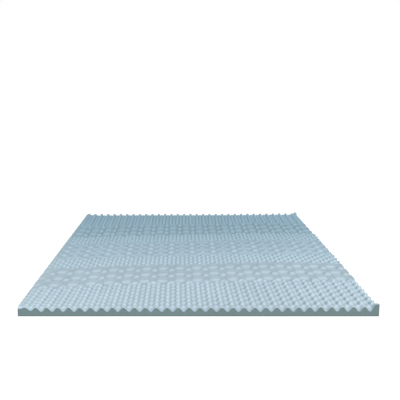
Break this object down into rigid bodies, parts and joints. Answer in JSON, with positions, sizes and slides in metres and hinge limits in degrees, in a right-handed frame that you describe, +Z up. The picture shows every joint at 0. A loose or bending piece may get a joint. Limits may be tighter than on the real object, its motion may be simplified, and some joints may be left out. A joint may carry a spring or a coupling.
{
  "type": "convoluted foam mattress topper",
  "caption": "Flat rectangular foam slab for a double-width bed, plain underneath, with a zoned egg-crate relief of crests and hollows on top.",
  "frame": {"origin": "middle of the flat underside, on the surface the slab lies on", "axes": "+Z up out of the relief, +Y along the slab from the front end to the back end, +X across it to the right seen from the front end"},
  "size_m": [1.524, 2.032, 0.052],
  "materials": {
    "foam": "pale steel-blue open-cell polyurethane foam, soft and matt, with fine pores; the cut edges look greyer"
  },
  "bodies": {
    "root": {"topper_foam": "foam"}
  },
  "joints": []
}
